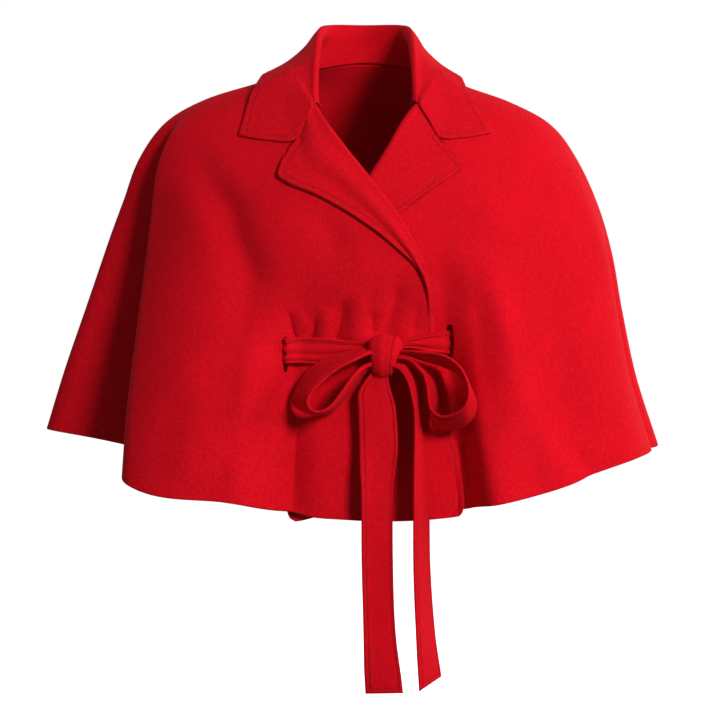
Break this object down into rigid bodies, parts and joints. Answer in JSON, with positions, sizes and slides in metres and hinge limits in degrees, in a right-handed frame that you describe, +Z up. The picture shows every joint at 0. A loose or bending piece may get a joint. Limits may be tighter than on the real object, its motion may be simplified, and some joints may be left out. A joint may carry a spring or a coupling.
{
  "type": "tie-belt capelet",
  "caption": "Short red wool cape with a notched coat collar, lapels, an overlapping front and a self-cloth belt tied in a bow at the front, in its worn form.",
  "frame": {"origin": "middle of the wearer's neck, at the height where the collar meets the shoulders", "axes": "+Z up along the wearer's body, -Y to the front where the bow is, +X to the wearer's left"},
  "size_m": [0.6902, 0.412, 0.7455],
  "materials": {
    "wool": "felted wool with a short nap, matte",
    "wool_folded": "felted wool, topstitched near its edges, matte",
    "wool_belt": "felted wool strip, topstitched near both edges, matte"
  },
  "bodies": {
    "root": {"front_right": "wool", "front_left": "wool", "back": "wool", "collar": "wool_folded", "lapel_right": "wool_folded", "lapel_left": "wool_folded", "belt_inner": "wool_belt", "belt_knot": "wool_belt", "belt_band_right": "wool_belt", "belt_band_left": "wool_belt", "belt_loop_right": "wool_belt", "belt_loop_left": "wool_belt", "belt_tail_right": "wool_belt", "belt_tail_left": "wool_belt"}
  },
  "joints": []
}
